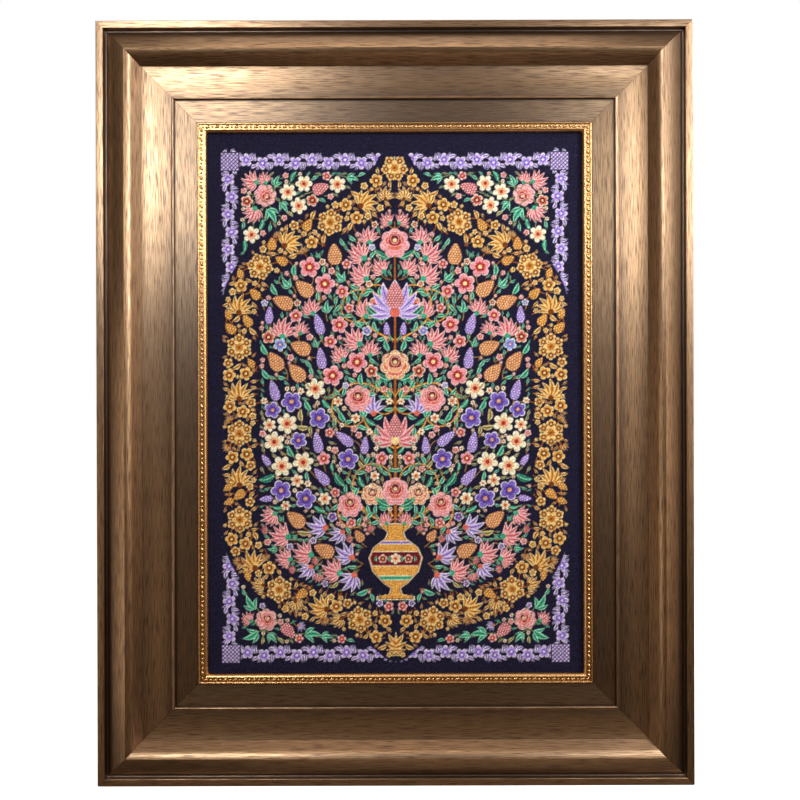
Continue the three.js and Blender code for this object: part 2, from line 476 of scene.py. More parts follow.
@dataclass
class MitredRing:
    """Four mitred rails with one section, which meet at the frame's corners.

    Attributes:
        width: outer width of the frame.
        height: outer height of the frame.
        middle: height of the frame's middle in the row frame.
        setback: how far each mitre stays off the corner's diagonal.
        stations: number of sections along a rail.
    """

    width: float
    height: float
    middle: float
    setback: float
    stations: int = 13

    def reach(self, side: Side) -> tuple[float, float]:
        """Gives half the outer length of a side's rail, and its distance from the frame's middle."""
        half = (self.width / 2, self.height / 2)
        return half if side in (Side.BOTTOM, Side.TOP) else half[::-1]

    def place(self, side: Side, along: np.ndarray, inward: np.ndarray, height: np.ndarray) -> np.ndarray:
        """Puts rail points in the row frame, in metres.

        A bottom rail's point lies along x, its height in front of the back runs along -y and its
        distance inward runs up from the outer edge. Quarter turns about y bring it to the other sides.

        Args:
            side: side of the frame.
            along: distance from the rail's middle.
            inward: distance from the outer edge.
            height: distance in front of the back.

        Returns:
            An array with x, y and z in its last axis.
        """
        angle = side.value * math.pi / 2
        up = inward - self.reach(side)[1]
        x = along * math.cos(angle) + up * math.sin(angle)
        z = up * math.cos(angle) - along * math.sin(angle) + self.middle
        return np.stack([x, -height, z], axis=-1) * MM

    def rail(self, side: Side, outline: Outline, toner_and_shade: TonerAndShade) -> Shell:
        """Carries a section along a side and closes both mitres.

        Each section point runs straight along the rail and stops where its distance inward meets the
        mitre, so the point at share t from -1 to 1 lies at t times half the rail's length less that
        distance.

        Args:
            side: side of the frame.
            outline: the section.
            toner_and_shade: shares of dark brown by distance inward, brown toning and painted shade, read
                between by straight lines.

        Returns:
            The rail's closed shell.
        """
        section, covers = outline.closed()
        count = len(section)
        share = np.linspace(-1, 1, self.stations)[:, None]
        along = share * (self.reach(side)[0] - section[:, 0] - self.setback)
        inward = np.broadcast_to(section[:, 0], along.shape)
        height = np.broadcast_to(section[:, 1], along.shape)
        points = self.place(side, along, inward, height).reshape(-1, 3)
        looped = np.vstack([section, section[:1]])
        girth = np.concatenate([[0.0], np.cumsum(np.hypot(*np.diff(looped, axis=0).T))])
        sides = grid_faces(self.stations, count, wrapped=True)
        column = np.tile(np.arange(count), self.stations - 1)
        round_uv = np.stack([girth[column], girth[column + 1], girth[column + 1], girth[column]], axis=1)
        # Each side reads its own stretch of the streaks, 2.3 frame widths on from the last.
        along_uv = along.ravel()[sides] + side.value * 2.3 * self.width
        ends = np.stack([np.arange(count)[::-1], np.arange(count) + (self.stations - 1) * count])
        return Shell(
            points,
            [sides, ends],
            [np.stack([along_uv, round_uv], axis=-1) * MM, section[ends % count] * MM],
            [np.tile(covers, self.stations - 1), np.full(2, Cover.BARE.value)],
            {"toner_and_shade": np.interp(inward.ravel(), *np.array(toner_and_shade).T)},
        )


@dataclass
class Strip:
    """A ring of four rails with one section: each kind gives its sizes, its section and what lies on it."""

    ring: MitredRing
    toner_and_shade: TonerAndShade = ()
    part: ClassVar[str] = "rail"
    ending: ClassVar[str] = "leafed"
    slot: ClassVar[str] = "bronze_moulding"
    crease: ClassVar[int] = 35

    def outline(self) -> Outline:
        """Draws the section; each kind says how."""
        raise NotImplementedError

    def trimmed(self, side: Side, rail: Shell) -> Shell:
        """Adds to a side's rail what lies on it, which for a plain strip is nothing."""
        return rail

    def build(self, leaf: bpy.types.Material, bare: bpy.types.Material) -> None:
        """Makes the four rails and dresses them.

        Args:
            leaf: finish of what shows.
            bare: finish of the back, the mitres and what is hidden.
        """
        for side in Side:
            node = f"{self.part}_{side.name.lower()}"
            shell = self.trimmed(side, self.ring.rail(side, self.outline(), self.toner_and_shade))
            settle(shell.make(f"{node}_{self.ending}", "Run", [leaf, bare], self.crease), self.slot, node)


@dataclass
class Moulding(Strip):
    """The wide outer moulding: square rim, quirk, high crest, steep fall, shallow panel and arris."""

    # Painted shade with a little brown toning, by distance inward: dark in the quirk, half dark on the
    # outer flank, a dark band painted on the steep fall, darker towards the panel's foot, and a painted
    # shadow line at the lip's edge.
    toner_and_shade: TonerAndShade = (
        (0, 0.1), (8, 0), (9.55, 0.05), (9.8, 0.9), (12.5, 0.85), (15, 0.5), (20, 0.55), (28, 0.45),
        (35, 0.2), (38, 0), (46, 0), (48, 0.25), (50, 0.85), (55, 0.8), (56.4, 0.4), (58, 0.05), (60, 0),
        (76, 0), (88, 0.3), (95, 0.6), (96, 0.15), (98.2, 0.05), (98.8, 0.6), (99.2, 0.7),
    )
    rim_width: float = 9.5
    rim_height: float = 32.0
    rim_round: float = 1.0
    rim_foot: float = 27.5
    quirk: Turn = Turn(12.5, 24.5, 38, 0.4)
    flank: Turn = Turn(38.5, 40.5, 28, 0.4)
    crest: Turn = Turn(38.5, 40.5, 18, 0.36)
    fall: Turn = Turn(48, 33.4, 56, 0.45)
    panel_top: Turn = Turn(56.5, 20.8, 12, 0.34)
    panel_foot: Turn = Turn(96, 19.6, 2, 0.4)
    arris: float = 1.6
    lip_edge: float = 99.2
    lip_underside: float = 16.3
    rebate_edge: float = 91.0

    def outline(self) -> Outline:
        """Draws the section, from the outer corner along the back, round the lip and over the front."""
        outline = Outline(0, 0)
        outline.line((self.rebate_edge, 0), (self.rebate_edge, self.lip_underside), cover=Cover.BARE)
        outline.line((self.lip_edge, self.lip_underside))
        arris_middle = (self.lip_edge - self.arris, self.panel_foot.height - self.arris / 2)
        outline.arc(arris_middle, self.arris, 0.8, 12)
        outline.line((self.panel_foot.inward, self.panel_foot.height))
        outline.sweep(self.panel_foot, self.panel_top, 20)
        outline.line((self.fall.inward, self.fall.height))
        outline.sweep(self.fall, self.crest, 20)
        outline.sweep(self.flank, self.quirk, 28)
        outline.bend((self.rim_width, self.quirk.height), (self.rim_width, self.rim_foot), 6)
        outline.line((self.rim_width, self.rim_height - self.rim_round))
        inner = self.rim_width - self.rim_round
        outline.bend((self.rim_width, self.rim_height), (inner, self.rim_height), 5)
        outline.line((self.rim_round, self.rim_height))
        return outline.bend((0, self.rim_height), (0, self.rim_height - self.rim_round), 5)


@dataclass
class Liner(Strip):
    """The flat slip under the moulding's lip, which slopes towards the rug and carries the fillet."""

    part: ClassVar[str] = "liner"
    slot: ClassVar[str] = "bronze_liner"
    crease: ClassVar[int] = 25
    # Painted shade by distance inward: dark under the moulding's lip, a painted shadow line just inside it,
    # and darker where the slip meets the fillet.
    toner_and_shade: TonerAndShade = (
        (91, 0.9), (99.5, 0.8), (101.2, 0.3), (102.2, 0), (104, 0), (126, 0.15), (128, 0.3), (129, 0.9),
    )
    outer_edge: float = 91.3
    slope_start: float = 99.5
    slope_end: float = 129.0
    inner_edge: float = 136.7
    outer_height: float = 16.0
    inner_height: float = 15.0
    ledge_height: float = 10.3

    def outline(self) -> Outline:
        """Draws the section: back, ledge under the fillet, sloping face and the part under the lip."""
        outline = Outline(self.outer_edge, 0)
        outline.line((self.inner_edge, 0), cover=Cover.BARE)
        ledge = ((self.inner_edge, self.ledge_height), (self.slope_end, self.ledge_height))
        outline.line(*ledge, cover=Cover.BARE)
        face = np.array([self.slope_end, 128.0, 126.0, 104.0, 102.2, 101.2, self.slope_start])
        height = np.interp(face, [self.slope_start, self.slope_end], [self.outer_height, self.inner_height])
        outline.add(np.stack([face, height], axis=1))
        return outline.line((self.outer_edge, self.outer_height))


@dataclass
class Fillet(Strip):
    """The narrow gold fillet: thin round rim, channel of slanted beads and pearls by turns, sloping edge.

    A kind of bead is its place in each pitch, from 0 to 1, its length, its width and its slant.
    """

    part: ClassVar[str] = "fillet"
    ending: ClassVar[str] = "beaded"
    slot: ClassVar[str] = "gold_fillet"
    crease: ClassVar[int] = 50
    # Darker in the channel, at the rim's outer foot and at the sight edge: partly patina, partly painted
    # shade in the recesses.
    toner_and_shade: TonerAndShade = (
        (129, 0.5), (129.8, 0.1), (130.6, 0), (131.6, 0.3), (132.4, 0.6), (136.2, 0.6), (137.2, 0.2),
        (137.9, 0), (140, 0), (141.6, 0.1), (142, 0.3),
    )
    outer_edge: float = 129.3
    inner_edge: float = 142.0
    foot: float = 10.6
    rim_width: float = 2.2
    rim_top: float = 17.2
    channel_floor: float = 14.6
    channel_width: float = 5.6
    rib_top: float = 16.6
    rib_flat: float = 0.8
    sight_height: float = 11.4
    bead_pitch: float = 12.65
    bead_height: float = 1.8
    kinds: tuple[tuple[float, float, float, float], ...] = ((0.32, 7.4, 4.2, 22.0), (0.82, 3.8, 3.8, 0.0))

    def outline(self) -> Outline:
        """Draws the section from its foot's outer corner round the sight edge and over the front."""
        channel_start = self.outer_edge + self.rim_width
        channel_end = channel_start + self.channel_width
        rim_round = self.rim_width / 2
        outline = Outline(self.outer_edge, self.foot)
        outline.line((self.inner_edge, self.foot), cover=Cover.BARE)
        outline.line((self.inner_edge, self.sight_height))
        rib = (channel_end + self.rib_flat, self.rib_top)
        outline.bend((channel_end + 3.0, self.rib_top - 0.4), rib, 8)
        outline.line((channel_end, self.rib_top - 0.1), (channel_end, self.channel_floor))
        outline.line((channel_start, self.channel_floor))
        return outline.arc((self.outer_edge + rim_round, self.rim_top - rim_round), rim_round, 1, 10)

    def beads(self, side: Side, share: float, length: float, width: float, slant: float) -> Shell:
        """Makes one row of half-sunk beads along the channel of a side.

        A bead is an egg: its point at angles a round it and b from its top is the half sizes times
        cos a sin b and sin a sin b, and its height is the bead's height times cos b. The row repeats it at
        each pitch.

        Args:
            side: side of the frame.
            share: the bead's place in each pitch, from 0 to 1.
            length: its length along the slant.
            width: its width.
            slant: angle between the bead and the channel, in degrees.

        Returns:
            The shell of the whole row.
        """
        rings, spokes = 7, 12
        middle = self.outer_edge + self.rim_width + self.channel_width / 2
        run = 2 * self.ring.reach(side)[0] - 2 * middle
        count = round(run / self.bead_pitch)
        falls = np.linspace(0.12, math.pi - 0.12, rings)
        around, down = np.meshgrid(np.arange(spokes) * math.pi / 6, falls)
        long_way = (np.cos(around) * np.sin(down) * length / 2).ravel()
        cross_way = (np.sin(around) * np.sin(down) * width / 2).ravel()
        above = (np.cos(down) * self.bead_height).ravel()
        cosine, sine = step(slant)
        starts = (np.arange(count) + share) * run / count - run / 2
        along = starts[:, None] + long_way * cosine - cross_way * sine
        inward = np.broadcast_to(middle + long_way * sine + cross_way * cosine, along.shape)
        height = np.broadcast_to(self.channel_floor + above, along.shape)
        points = self.ring.place(side, along, inward, height).reshape(-1, 3)
        caps = np.stack([np.arange(spokes)[::-1], np.arange(spokes) + (rings - 1) * spokes])
        first = np.arange(count)[:, None, None] * rings * spokes
        parts = (grid_faces(rings, spokes, wrapped=True), caps)
        faces = [(part + first).reshape(-1, part.shape[1])[:, ::-1] for part in parts]
        flat = np.stack([along.ravel(), inward.ravel()], axis=-1) * MM
        # Each bead darkens towards its foot in the channel: painted shade where it meets the floor.
        toner_and_shade = np.broadcast_to(0.6 * np.clip(1 - above / self.bead_height, 0, 1) ** 3, along.shape).ravel()
        bare = [np.zeros(len(part)) for part in faces]
        return Shell(points, faces, [flat[part] for part in faces], bare, {"toner_and_shade": toner_and_shade})

    def trimmed(self, side: Side, rail: Shell) -> Shell:
        """Adds a row of each kind of bead to a side's rail."""
        for kind in self.kinds:
            rail = rail.joined(self.beads(side, *kind))
        return rail


# The rug's knot chart

class Dye(Enum):
    """Dyed silks and wools of the rug."""

    NAVY = "#1d1a2e"
    LILAC = "#c3a6e8"
    VIOLET = "#7c62c0"
    PLUM = "#54408c"
    WHITE = "#efe8f4"
    GOLD = "#e9a850"
    STRAW = "#ffdc96"
    AMBER = "#b8702a"
    BROWN = "#783c18"
    CREAM = "#fbeecb"
    BLUSH = "#ffcdc6"
    PINK = "#f0969c"
    CORAL = "#e2705c"
    RED = "#a82c2e"
    WINE = "#6e1c28"
    PEACH = "#f0a878"
    MINT = "#a4ecc4"
    TEAL = "#44a882"
    GREEN = "#256850"
    OLIVE = "#b09858"
    SKY = "#8ab2dc"

    @property
    def rgb(self) -> np.ndarray:
        """The dye as sRGB red, green and blue from 0 to 1."""
        return srgb(self.value)


@dataclass
class Patch:
    """A window of the chart in a motif's own axes, along its turn and across it."""

    rows: slice
    columns: slice
    along: np.ndarray
    across: np.ndarray

    @property
    def reach(self) -> np.ndarray:
        """Distance of each knot from the window's middle."""
        return np.hypot(self.along, self.across)

    def lobes(self, petals: int) -> np.ndarray:
        """Gives |cos(n a / 2)| at each knot's angle a: 1 on each of n petals and 0 between them."""
        return np.abs(np.cos(petals * np.arctan2(self.across, self.along) / 2))


class Chart:
    """The rug's knots: a colour and a height for each, with the left half worked and then mirrored.

    Places are in millimetres from the rug's middle, x to the right and y up.
    """

    def __init__(self, width: float, length: float, columns: int, rows: int, ground: Dye) -> None:
        """Lays the plain ground.

        Args:
            width: width of the rug.
            length: length of the rug.
            columns: cells across the whole rug.
            rows: cells along it.
            ground: dye of the ground.
        """
        self.x = np.linspace(-width / 2, 0, columns // 2 + 1)
        self.y = np.linspace(-length / 2, length / 2, rows + 1)
        self.knot = width / columns
        self.colour = np.tile(ground.rgb, (rows + 1, columns // 2 + 1, 1))
        self.relief = np.zeros((rows + 1, columns // 2 + 1))

    def local(self, spot: Spot, reach: float, turn: float = 0.0) -> Patch:
        """Cuts the window round a spot and measures it along a direction and across it.

        Args:
            spot: middle of the window.
            reach: half its size.
            turn: the direction, in degrees from x.

        Returns:
            The window, which is empty where the spot lies off the chart.
        """
        columns = slice(*np.searchsorted(self.x, [spot[0] - reach, spot[0] + reach]))
        rows = slice(*np.searchsorted(self.y, [spot[1] - reach, spot[1] + reach]))
        right = self.x[columns][None, :] - spot[0]
        up = self.y[rows][:, None] - spot[1]
        cosine, sine = step(turn)
        return Patch(rows, columns, right * cosine + up * sine, up * cosine - right * sine)

    def lay(self, patch: Patch, depth: np.ndarray, dye: Dye, height: float = 1.0) -> None:
        """Ties knots of one dye where a shape lies, with an edge that fades over one knot.

        Args:
            patch: window that holds the shape.
            depth: how far inside the shape's edge each knot lies.
            dye: the dye.
            height: how far the shape is raised, as a share of the full relief.
        """
        cover = np.clip(depth / self.knot + 0.5, 0, 1)
        colour = self.colour[patch.rows, patch.columns]
        colour += cover[..., None] * (dye.rgb - colour)
        relief = self.relief[patch.rows, patch.columns]
        np.maximum(relief, cover * height, out=relief)

    def whole(self) -> tuple[np.ndarray, np.ndarray]:
        """Mirrors the left half and gives the whole rug's colours and relief."""
        colour = np.concatenate([self.colour, self.colour[:, -2::-1]], axis=1)
        return colour, np.concatenate([self.relief, self.relief[:, -2::-1]], axis=1)


class Motif:
    """Something that is painted at a spot of the chart, at a size and a turn.

    Spill is how far it may reach past the circle that a planting keeps for it, as a share of that circle.
    """

    spill: ClassVar[float] = 1.04

    def paint(self, chart: Chart, spot: Spot, size: float, turn: float = 0.0) -> None:
        """Paints the motif; each kind says how, and takes the same arguments.

        Args:
            chart: the chart that gets it.
            spot: its middle.
            size: its radius.
            turn: the way it points, in degrees from x.
        """
        raise NotImplementedError


@dataclass(frozen=True)
class Blossom(Motif):
    """A flower from the front: round petals with a light edge, a darker throat and a small heart.

    Its edge lies at the radius times 1 - notch + notch |cos(n a / 2)|^0.6 at angle a, for n petals.
    """

    petals: int
    rim: Dye
    body: Dye
    throat: Dye
    heart: Dye
    notch: float = 0.42
    rim_width: float = 1.4

    def paint(self, chart: Chart, spot: Spot, size: float, turn: float = 0.0) -> None:
        """Paints the petals, the lines between them, the throat and the heart."""
        patch = chart.local(spot, size + 1, turn)
        lobe = patch.lobes(self.petals)
        edge = size * (1 - self.notch + self.notch * lobe ** 0.6)
        chart.lay(patch, edge - patch.reach, self.rim)
        chart.lay(patch, edge - min(self.rim_width, 0.3 * size) - patch.reach, self.body)
        if size > 5:
            seam = 0.75 - patch.reach * lobe * 2 / self.petals
            chart.lay(patch, np.minimum(seam, 0.8 * edge - patch.reach), self.throat, 0.6)
        chart.lay(patch, 0.5 * size * (0.5 + 0.5 * lobe) - patch.reach, self.throat, 0.8)
        chart.lay(patch, max(0.2 * size, 0.9) - patch.reach, self.heart)


@dataclass(frozen=True)
class Rose(Motif):
    """A full rose: rings of petals, each ring smaller, deeper in colour, and edged with a pale line."""

    edge: Dye
    rings: tuple[Dye, ...]
    heart: Dye

    def paint(self, chart: Chart, spot: Spot, size: float, turn: float = 0.0) -> None:
        """Paints the rings from the outside in, each turned and lifted a little against the last."""
        for number, dye in enumerate(self.rings):
            radius = size * (1 - number / (len(self.rings) + 0.6)) ** 0.9
            middle = spot + 0.07 * size * number * step(turn)
            patch = chart.local(middle, radius + 1, turn + 41 * number)
            edge = radius * (0.8 + 0.2 * patch.lobes(7 - number) ** 0.6)
            chart.lay(patch, edge - patch.reach, self.edge)
            chart.lay(patch, edge - 1.0 - patch.reach, dye)
        patch = chart.local(spot, size, turn)
        chart.lay(patch, 0.14 * size - np.hypot(patch.along - 0.2 * size, patch.across), self.heart)


@dataclass(frozen=True)
class Leaf(Motif):
    """A pointed leaf along its turn, with a light edge and a midrib.

    At share s of its length it is as wide as slim times sin(pi s^0.85)^0.8 of that length each way, and
    its middle line bows sideways by 4 bow s (1 - s).
    """

    spill: ClassVar[float] = 1.3
    rim: Dye
    body: Dye
    rib: Dye
    slim: float = 0.2
    bow: float = 0.12
    teeth: int = 0

    def paint(self, chart: Chart, spot: Spot, size: float, turn: float = 0.0) -> None:
        """Paints the leaf with its middle on the spot and its tip at its size from there."""
        patch = chart.local(spot, 1.1 * size + 1, turn)
        share = np.clip((patch.along + size) / (2 * size), 0, 1)
        across = np.abs(patch.across - self.bow * 2 * size * (4 * share * (1 - share) - 0.5))
        half = self.slim * 2 * size * np.sin(math.pi * share ** 0.85) ** 0.8
        if self.teeth:
            half = half * (1 - 0.3 * np.mod(share * self.teeth, 1))
        depth = np.minimum(half - across, size - np.abs(patch.along))
        chart.lay(patch, depth, self.rim, 0.8)
        chart.lay(patch, depth - min(1.2, 0.2 * size), self.body, 0.8)
        chart.lay(patch, np.minimum(0.6 - across, depth - 0.1 * size), self.rib, 0.6)


@dataclass(frozen=True)
class Spray(Motif):
    """A lily, palmette or tuft: leaves that fan out from one foot, the outer ones first."""

    spill: ClassVar[float] = 1.22
    leaf: Leaf
    count: int = 5
    spread: float = 62.0
    heart: Dye | None = None

    def paint(self, chart: Chart, spot: Spot, size: float, turn: float = 0.0) -> None:
        """Paints the leaves round a foot that lies behind the spot, and the heart at their foot."""
        foot = spot - 0.7 * size * step(turn)
        for share in sorted(np.linspace(-1, 1, self.count), key=lambda share: -abs(share)):
            angle = turn + share * self.spread
            half = size * (0.82 - 0.22 * abs(share))
            self.leaf.paint(chart, foot + half * step(angle), half, angle)
        if self.heart:
            patch = chart.local(foot, 0.4 * size)
            chart.lay(patch, 0.24 * size - patch.reach, self.heart)


@dataclass(frozen=True)
class Cluster(Motif):
    """Berries or florets packed in a drop, in rows that step by half a berry."""

    light: Dye
    dark: Dye
    spot: Dye
    berry: float = 3.6
    slim: float = 0.62

    def paint(self, chart: Chart, spot: Spot, size: float, turn: float = 0.0) -> None:
        """Paints the drop and its rows of round berries, each with a spot in its middle."""
        patch = chart.local(spot, size + 1, turn)
        share = np.clip(patch.along / size, -1, 1)
        half = self.slim * size * np.sqrt(1 - share ** 2) * (1 - 0.4 * share)
        depth = np.minimum(half - np.abs(patch.across), size - np.abs(patch.along))
        row = np.round(patch.along / (0.87 * self.berry))
        place = patch.across / self.berry + 0.5 * np.mod(row, 2)
        away = np.hypot(patch.along - row * 0.87 * self.berry, (place - np.round(place)) * self.berry)
        chart.lay(patch, depth, self.dark, 0.6)
        chart.lay(patch, np.minimum(depth, 0.46 * self.berry - away), self.light)
        chart.lay(patch, np.minimum(depth, 0.16 * self.berry - away), self.spot)


def tendril(start: Spot, turn: float, first: float, last: float, length: float) -> np.ndarray:
    """Works out a tendril whose bend grows evenly along it.

    Its heading after a length s of L is the first heading plus first s + (last - first) s^2 / 2L, in
    degrees for each millimetre, and its points add up short steps along that heading.

    Args:
        start: where it starts.
        turn: its first heading, in degrees from x.
        first: its bend at the start, in degrees for 100 mm.
        last: its bend at the end, in degrees for 100 mm.
        length: its length.

    Returns:
        Its points, about 2 mm apart.
    """
    steps = max(int(length / 2), 2)
    run = np.linspace(0, length, steps + 1)
    angle = np.radians(turn + first * run / 100 + (last - first) * run ** 2 / (200 * length))
    ways = np.stack([np.cos(angle), np.sin(angle)], axis=1)[:-1] * (length / steps)
    return np.array(start) + np.concatenate([np.zeros((1, 2)), np.cumsum(ways, axis=0)])


def draw_stem(chart: Chart, path: np.ndarray, thick: float, thin: float, light: Dye, dark: Dye) -> None:
    """Lays a stem along a path, thinner towards its end, dark at its edges and light along its middle.

    Args:
        chart: the chart.
        path: its points.
        thick: its width at the start.
        thin: its width at the end.
        light: dye of its middle.
        dark: dye of its edges.
    """
    widths = np.linspace(thick, thin, len(path))
    for share, dye in ((1.0, dark), (0.5, light)):
        for start, end, width in zip(path[:-1], path[1:], widths):
            half = float(np.hypot(*(end - start))) / 2
            patch = chart.local((start + end) / 2, half + width + 1, heading(end - start))
            outside = np.maximum(np.abs(patch.along) - half, 0)
            chart.lay(patch, share * width / 2 - np.hypot(outside, patch.across), dye, 0.5)


class Planting:
    """Finds free spots for motifs: circles that clear each other and the edges of their bed."""

    def __init__(self, chart: Chart, seed: int) -> None:
        """Starts with no spot taken, on a chart and with a seed for its draws."""
        self.chart = chart
        self.taken = np.empty((0, 3))
        self.draw = np.random.default_rng(seed)

    def take(self, x: float, y: float, radius: float) -> None:
        """Keeps a circle free of later motifs."""
        self.taken = np.vstack([self.taken, (x, y, radius)])

    def fill(self, room: np.ndarray, radius: float, gap: float, tries: int) -> np.ndarray:
        """Throws circles at a bed and keeps those that clear all that is there.

        Args:
            room: distance of each knot to the bed's edge, negative outside.
            radius: radius of the circles.
            gap: clear distance between circles.
            tries: number of throws.

        Returns:
            The middles of the circles that found room.
        """
        rows, columns = np.nonzero(room > radius)
        if not len(rows):
            return np.empty((0, 2))
        found = []
        for pick in self.draw.integers(len(rows), size=tries):
            x = self.chart.x[columns[pick]]
            y = self.chart.y[rows[pick]]
            away = np.hypot(self.taken[:, 0] - x, self.taken[:, 1] - y) - self.taken[:, 2]
            if not len(away) or away.min() > radius + gap:
                self.take(x, y, radius)
                found.append((x, y))
        return np.array(found).reshape(-1, 2)


# The rug's motifs, each in the dyes that its part of the rug uses.

GOLD_FLOWER = Blossom(5, Dye.STRAW, Dye.GOLD, Dye.BROWN, Dye.STRAW)
GOLD_ASTER = Blossom(10, Dye.STRAW, Dye.GOLD, Dye.AMBER, Dye.BROWN, notch=0.3)
GOLD_LEAF = Leaf(Dye.STRAW, Dye.GOLD, Dye.BROWN, slim=0.24)
GOLD_LILY = Spray(Leaf(Dye.STRAW, Dye.GOLD, Dye.BROWN, slim=0.15), 7, 78, Dye.BROWN)
GOLD_BERRIES = Cluster(Dye.GOLD, Dye.BROWN, Dye.STRAW)
LILAC_STAR = Blossom(5, Dye.WHITE, Dye.LILAC, Dye.VIOLET, Dye.WHITE, notch=0.5)
LILAC_LEAF = Leaf(Dye.WHITE, Dye.LILAC, Dye.PLUM, slim=0.22)
LILAC_LILY = Spray(Leaf(Dye.WHITE, Dye.LILAC, Dye.PLUM), 3, 48)
PINK_ROSE = Rose(Dye.BLUSH, (Dye.PINK, Dye.PINK, Dye.CORAL, Dye.RED, Dye.WINE), Dye.STRAW)
PEACH_ROSE = Rose(Dye.CREAM, (Dye.PEACH, Dye.CORAL, Dye.PEACH, Dye.RED, Dye.WINE), Dye.STRAW)
PINK_FLOWER = Blossom(5, Dye.BLUSH, Dye.PINK, Dye.RED, Dye.STRAW)
CREAM_FLOWER = Blossom(6, Dye.CREAM, Dye.CREAM, Dye.PEACH, Dye.RED, notch=0.5)
PANSY = Blossom(5, Dye.WHITE, Dye.VIOLET, Dye.PLUM, Dye.PEACH)
CORAL_FLOWER = Blossom(5, Dye.CREAM, Dye.CORAL, Dye.WINE, Dye.STRAW)
SKY_FLOWER = Blossom(5, Dye.WHITE, Dye.SKY, Dye.VIOLET, Dye.STRAW)
TEAL_LEAF = Leaf(Dye.MINT, Dye.TEAL, Dye.GREEN)
GREEN_LEAF = Leaf(Dye.TEAL, Dye.GREEN, Dye.MINT, slim=0.22, teeth=6)
MINT_TUFT = Spray(Leaf(Dye.MINT, Dye.TEAL, Dye.GREEN, slim=0.17), 3, 40)
OLIVE_LEAF = Leaf(Dye.STRAW, Dye.OLIVE, Dye.GREEN)
PINK_LILY = Spray(Leaf(Dye.BLUSH, Dye.PINK, Dye.RED, slim=0.14), 7, 66, Dye.TEAL)
VIOLET_LILY = Spray(Leaf(Dye.WHITE, Dye.LILAC, Dye.PLUM, slim=0.15), 5, 58, Dye.CORAL)
PINK_BERRIES = Cluster(Dye.PINK, Dye.WINE, Dye.CREAM)
AMBER_BERRIES = Cluster(Dye.PEACH, Dye.BROWN, Dye.STRAW)
VIOLET_BERRIES = Cluster(Dye.LILAC, Dye.PLUM, Dye.WHITE, slim=0.42)

# A class of circles in a bed: their radius, gap, number of throws and the motifs that they take.
BedClass = tuple[float, float, int, list[Motif]]


